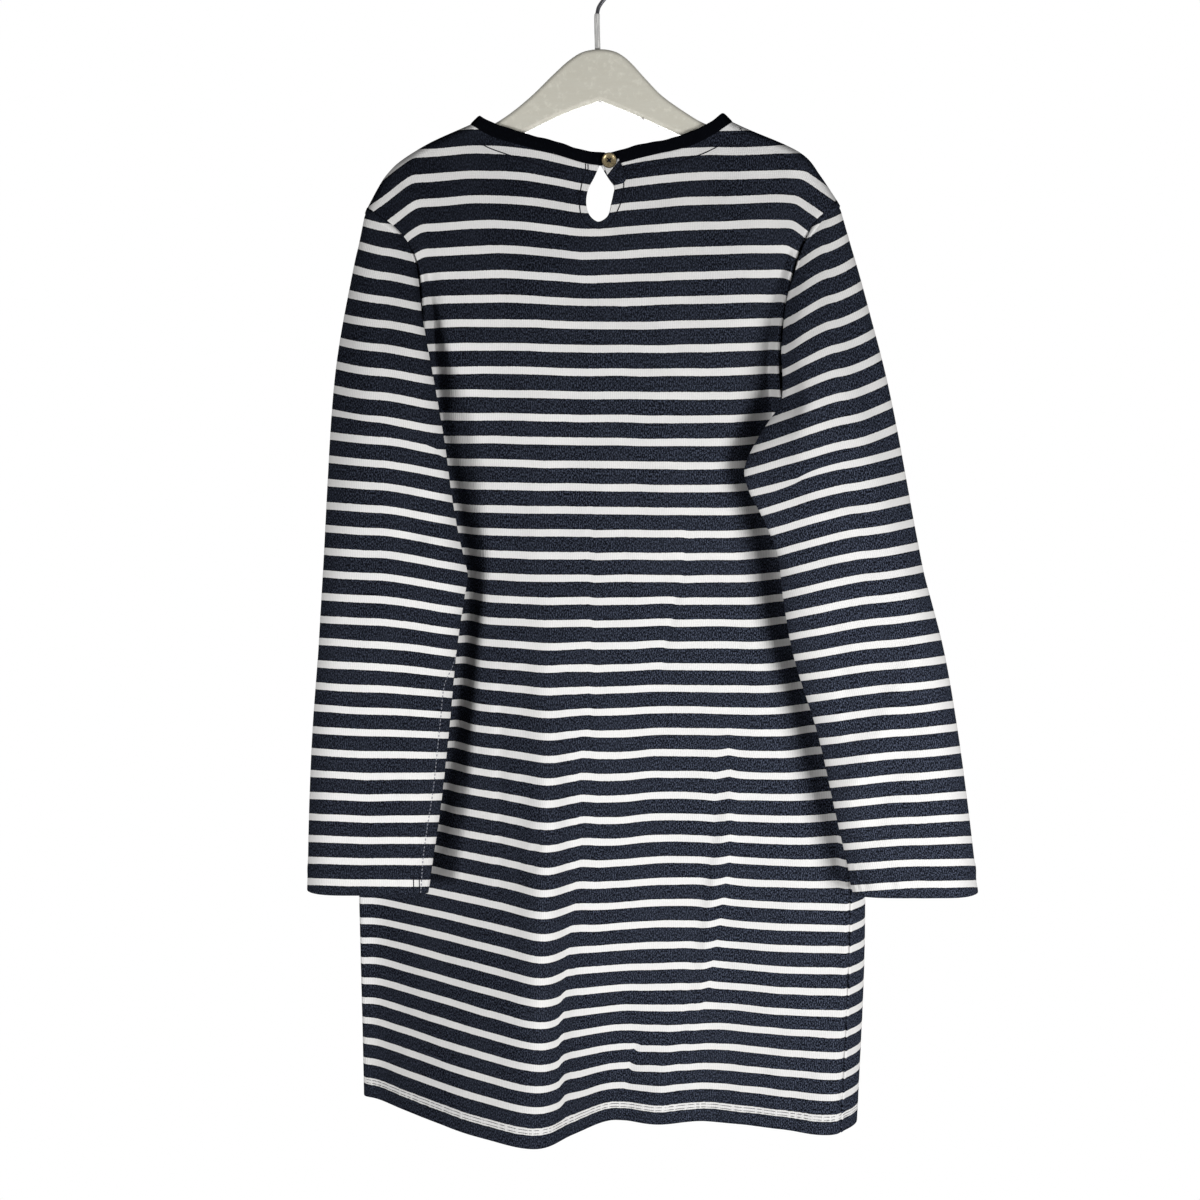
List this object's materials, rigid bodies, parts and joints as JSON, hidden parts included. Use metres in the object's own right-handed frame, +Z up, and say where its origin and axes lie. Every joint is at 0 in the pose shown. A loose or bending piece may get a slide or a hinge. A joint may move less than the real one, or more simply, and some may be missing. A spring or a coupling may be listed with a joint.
{
  "type": "sweatshirt dress on a wooden hanger",
  "caption": "Long-sleeved striped sweatshirt dress with a buttoned keyhole back, hanging on a wooden hanger by its wire hook.",
  "frame": {"origin": "inner top of the hanger hook's crook, where a rail carries it", "axes": "+Z up, -Y the way the back of the dress faces, +X to the right as seen from -Y"},
  "size_m": [0.549, 0.1414, 0.9501],
  "materials": {
    "striped_knit": "navy and white striped cotton sweatshirt knit",
    "binding_knit": "plain dark navy knit",
    "aged_brass": "aged, dark in the hollows",
    "painted_wood": "matt off-white paint, worn at the edges",
    "hook_steel": "bare wire"
  },
  "bodies": {
    "root": {"back_panel": "striped_knit", "front_panel": "striped_knit", "sleeve_left": "striped_knit", "sleeve_right": "striped_knit", "neck_binding": "binding_knit", "neck_button": "aged_brass", "hanger_board": "painted_wood", "hanger_hook": "hook_steel"}
  },
  "joints": []
}
